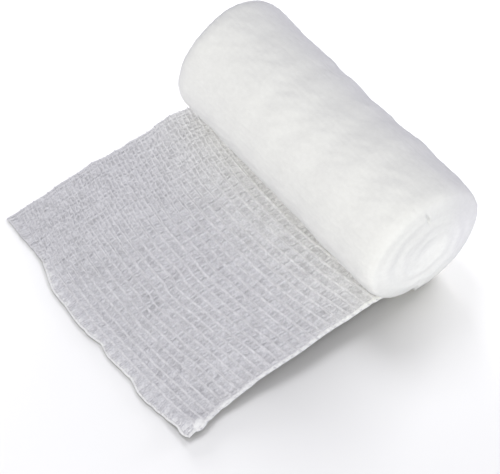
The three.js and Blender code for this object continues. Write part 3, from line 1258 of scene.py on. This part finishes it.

# %% [markdown]
# ## The finish of the roll
#
# Two near whites are mixed by a fine noise. Low on the roll the colour is lighter, as painted light for the
# light that the loose end sends up. The back is greyer, with a touch of lilac, as painted shade.

# %% Finish of the roll
# The first three rows paint light and shade: painted light low on the roll, painted shade on its back, and
# painted light on the loose end by the roll. The last two make the film and the yarns duller by the cut.
PAINTED_BOUNCE_LOW_ON_ROLL, PAINTED_SHADE_ON_ROLL_BACK, PAINTED_LIGHT_BY_ROLL, FILM_BY_CUT, YARNS_BY_CUT = table(
    "axis start end gain",
    ("Z", 0.025, 0.013, (1.12, 1.12, 1.12)),
    ("Y", 0.003, 0.0115, (0.93, 0.923, 0.955)),
    ("Y", -0.036, -0.008, (1.12, 1.125, 1.09)),
    ("Y", -0.042, -0.058, (0.97, 0.97, 0.97)),
    ("Y", -0.042, -0.058, (0.96, 0.96, 0.96)),
)
ROLL_LOW = (0.68, 0.68, 0.675)
ROLL_HIGH = (0.765, 0.765, 0.758)
roll_material, tree, shader = matt_material("wound_gauze", ROLL_HIGH)
white = mixed(tree, noise_in(tree, scale=900, detail=4), ROLL_LOW, ROLL_HIGH)
# painted light low on the roll, and painted shade on its back
toned(tree, shader, white, PAINTED_BOUNCE_LOW_ON_ROLL, PAINTED_SHADE_ON_ROLL_BACK)
fibre_bump(tree, shader, scale=2600, strength=0.35, distance=0.0001)
wound_cloth.data.materials.append(roll_material)
print(roll_material.name, "has", len(tree.nodes), "nodes")

# %% [markdown]
# ## The finish of the film
#
# A colour ramp makes a tone of the attribute: light where yarns are pushed together, mid where the weave is
# closed, and dark in the gaps. The dark in the gaps is painted shade, for the floor in the cloth's shade
# under them. A see-through film would show the gaps only as dark or light as the floor under them.

# %% Finish of the film
FILM_DENSE = (0.86, 0.86, 0.875)
FILM_CLOSED = (0.695, 0.69, 0.73)
# the darkest tone is painted shade, for the shaded floor seen through the gaps
PAINTED_GAP_SHADE = (0.5, 0.495, 0.53)
film_material, tree, shader = matt_material("film_haze_and_gap_shade", FILM_CLOSED)
opened = add_node(tree, "ShaderNodeAttribute", attribute_name="open").outputs["Fac"]
level = spread(tree, opened, from_min=-1, from_max=1)
tones = add_node(tree, "ShaderNodeValToRGB", level, "Fac")
tones.color_ramp.elements[0].color = (*FILM_DENSE, 1)
tones.color_ramp.elements[1].color = (*PAINTED_GAP_SHADE, 1)
tones.color_ramp.elements.new(0.5).color = (*FILM_CLOSED, 1)
fuzz = spread(tree, noise_in(tree, scale=1900), from_min=0.3, from_max=0.7, to_min=0.86, to_max=1.1)
shade = add_node(tree, "ShaderNodeVectorMath", tones.outputs["Color"], 0, operation="SCALE")
tree.links.new(fuzz, shade.inputs["Scale"])
# painted light by the roll, and a duller tone by the cut
toned(tree, shader, shade.outputs["Vector"], PAINTED_LIGHT_BY_ROLL, FILM_BY_CUT)
fibre_bump(tree, shader, scale=2200, strength=0.5, distance=0.0001)
film.data.materials.append(film_material)
print(film_material.name, "has", len(tree.nodes), "nodes")

# %% [markdown]
# ## The finish of the yarns
#
# One function makes all the yarn materials, each from a darker and a lighter tone. The edges are the
# brightest, because many yarns lie together there. By the roll the colour is lighter, as painted light from
# the roll, and by the cut the yarns are duller.

# %% Finish of the yarns
def yarn_material(name, low, high, *sides):
    """Spun yarn, with uneven tones and a bump of fibres."""
    material, tree, shader = matt_material(name, high)
    uneven = spread(tree, noise_in(tree, scale=1500), from_min=0.33, from_max=0.67)
    toned(tree, shader, mixed(tree, uneven, low, high), *sides)
    fibre_bump(tree, shader, scale=4000, strength=0.4, distance=0.00005)
    return material


# painted light by the roll, and duller yarns by the cut
ROLL_LIGHT_AND_CUT_TONE = (PAINTED_LIGHT_BY_ROLL, YARNS_BY_CUT)
YARNS = table(
    "name low high sides pieces",
    ("cross_yarn", (0.65, 0.645, 0.68), (0.8, 0.795, 0.83), ROLL_LIGHT_AND_CUT_TONE, [cross_yarns]),
    ("long_yarn", (0.565, 0.56, 0.595), (0.735, 0.73, 0.77), ROLL_LIGHT_AND_CUT_TONE, [long_yarns]),
    ("edge_yarn", (0.74, 0.737, 0.76), (0.88, 0.88, 0.89), ROLL_LIGHT_AND_CUT_TONE, [near_edge, cut_edge]),
    ("far_edge_yarn", (0.58, 0.575, 0.61), (0.68, 0.675, 0.71), ROLL_LIGHT_AND_CUT_TONE, [far_edge]),
    ("loose_fibre", (0.66, 0.655, 0.69), (0.8, 0.795, 0.83), ROLL_LIGHT_AND_CUT_TONE[:1], [hairs]),
    ("folded_gauze", (0.79, 0.787, 0.81), (0.86, 0.858, 0.875), ROLL_LIGHT_AND_CUT_TONE[:1], [flap]),
)
for row in YARNS:
    material = yarn_material(row["name"], row["low"], row["high"], *row["sides"])
    for piece in row["pieces"]:
        piece.data.materials.append(material)
print("yarn materials:", [row["name"] for row in YARNS])

# %% [markdown]
# ## Floor and light
#
# The bandage lies on a plain pale floor, under an even sky. On white cloth the light makes all the form
# there is, so the roll, the loose end and the floor have lamps of their own, through light linking. The
# roll has a key from above its near end and a fill from low in front. The loose end has one wide lamp in
# front, which the roll doesn't shade, or a dark crease would show where the two meet. A pale lamp faces the
# near end of both.
#
# On the floor, lamps from behind and from the left give the soft shadows before the cloth and past the near
# end. The lowest is shaded by the loose end alone, for the narrow shade along the cut, and a weak one in
# front keeps the shade from going black. A shadow shows only where the light that is left adds up to less
# than white.

# %% Floor and sky
FLOOR_SIDE = 6
FLOOR_DROP = 0.00005
FLOOR_COLOUR = (0.77, 0.764, 0.69)
SKY_COLOUR = (0.88, 0.883, 1.0)
SKY_STRENGTH = 0.57
bpy.ops.object.select_all(action="DESELECT")
bpy.ops.mesh.primitive_plane_add(size=FLOOR_SIDE, location=(0, 0, -FLOOR_DROP))
floor = bpy.context.object
floor.name = "floor"
floor.data.materials.append(matt_material("floor", FLOOR_COLOUR)[0])
world = bpy.data.worlds.new("sky")
bpy.context.scene.world = world
world.use_nodes = True
sky = world.node_tree.nodes["Background"]
sky.inputs["Color"].default_value = (*SKY_COLOUR, 1)
sky.inputs["Strength"].default_value = SKY_STRENGTH
bpy.context.scene.view_settings.view_transform = "Standard"
print("a floor of", FLOOR_SIDE, "m under a sky of strength", SKY_STRENGTH)

# %% Lamps
LAMP_DISTANCE = 1.0
WARM = (1.0, 0.99, 0.86)
COOL = (0.87, 0.875, 1.0)
PALE = (0.85, 0.94, 1.0)
loose_pieces = [film, cross_yarns, long_yarns, near_edge, far_edge, cut_edge, flap, hairs]
cloth_pieces = [wound_cloth, *loose_pieces]
LAMPS = table(
    "name direction size power colour lights shaded_by",
    ("key", (0.48, -0.22, 0.85), 0.6, 5.9, WARM, [wound_cloth], None),
    ("fill", (0.15, -0.98, 0.14), 0.18, 2.1, WARM, [wound_cloth], None),
    ("front_lamp", (0.22, -0.5, 0.84), 0.8, 5.9, WARM, loose_pieces, loose_pieces),
    ("end_light", (0.95, -0.05, 0.3), 0.4, 0.9, PALE, cloth_pieces, None),
    ("floor_lamp", (-0.5, 0.2, 0.84), 0.4, 4.2, COOL, [floor], None),
    ("low_lamp", (-0.25, 0.85, 0.38), 0.6, 12, COOL, [floor], None),
    ("shade_lamp", (-0.55, -0.75, 0.38), 0.5, 1.5, COOL, [floor], None),
    ("edge_lamp", (-0.9, 0.4, 0.17), 0.3, 12, COOL, [floor], None),
    ("cut_lamp", (0.1, 0.98, 0.1), 0.2, 7.5, COOL, [floor], loose_pieces),
)


def add_lamp(row):
    """A square lamp that shines from a direction onto the middle of the bandage."""
    towards = Vector(row["direction"]).normalized()
    bpy.ops.object.light_add(
        type="AREA",
        location=CAMERA_AIM + towards * LAMP_DISTANCE,
        rotation=towards.to_track_quat("Z", "Y").to_euler(),
    )
    light = bpy.context.object
    light.name = row["name"]
    light.data.size = row["size"]
    light.data.energy = row["power"]
    light.data.color = row["colour"]
    return light


def group_of(name, pieces):
    """A collection that a lamp can be limited to."""
    group = bpy.data.collections.new(name)
    for piece in pieces:
        group.objects.link(piece)
    return group


for row in LAMPS:
    light = add_lamp(row)
    light.light_linking.receiver_collection = group_of(f"lit_by_{light.name}", row["lights"])
    if row["shaded_by"]:
        light.light_linking.blocker_collection = group_of(f"shades_{light.name}", row["shaded_by"])
print(len(LAMPS), "lamps of", sum(row["power"] for row in LAMPS), "watts in all")

# %% [markdown]
# ## Ride on the frame in place of its solids
#
# Every piece moves with the one body of the frame. The skin stands for the solid roll, and the film stands
# for the solid loose end, with the yarns and edges on it.

# %% Ride and replace
for piece in cloth_pieces:
    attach(piece, "root")
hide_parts("roll")
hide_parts("loose_end")
print(len(cloth_pieces), "pieces ride on the one body")

# %% [markdown]
# ## Count the triangles
#
# The dressed bandage is to fill the same room as the plain solids. The triangles of all its cloth pieces are
# counted.

# %% Count the triangles and finish
print("triangles in all:", sum(triangle_count(piece) for piece in cloth_pieces))
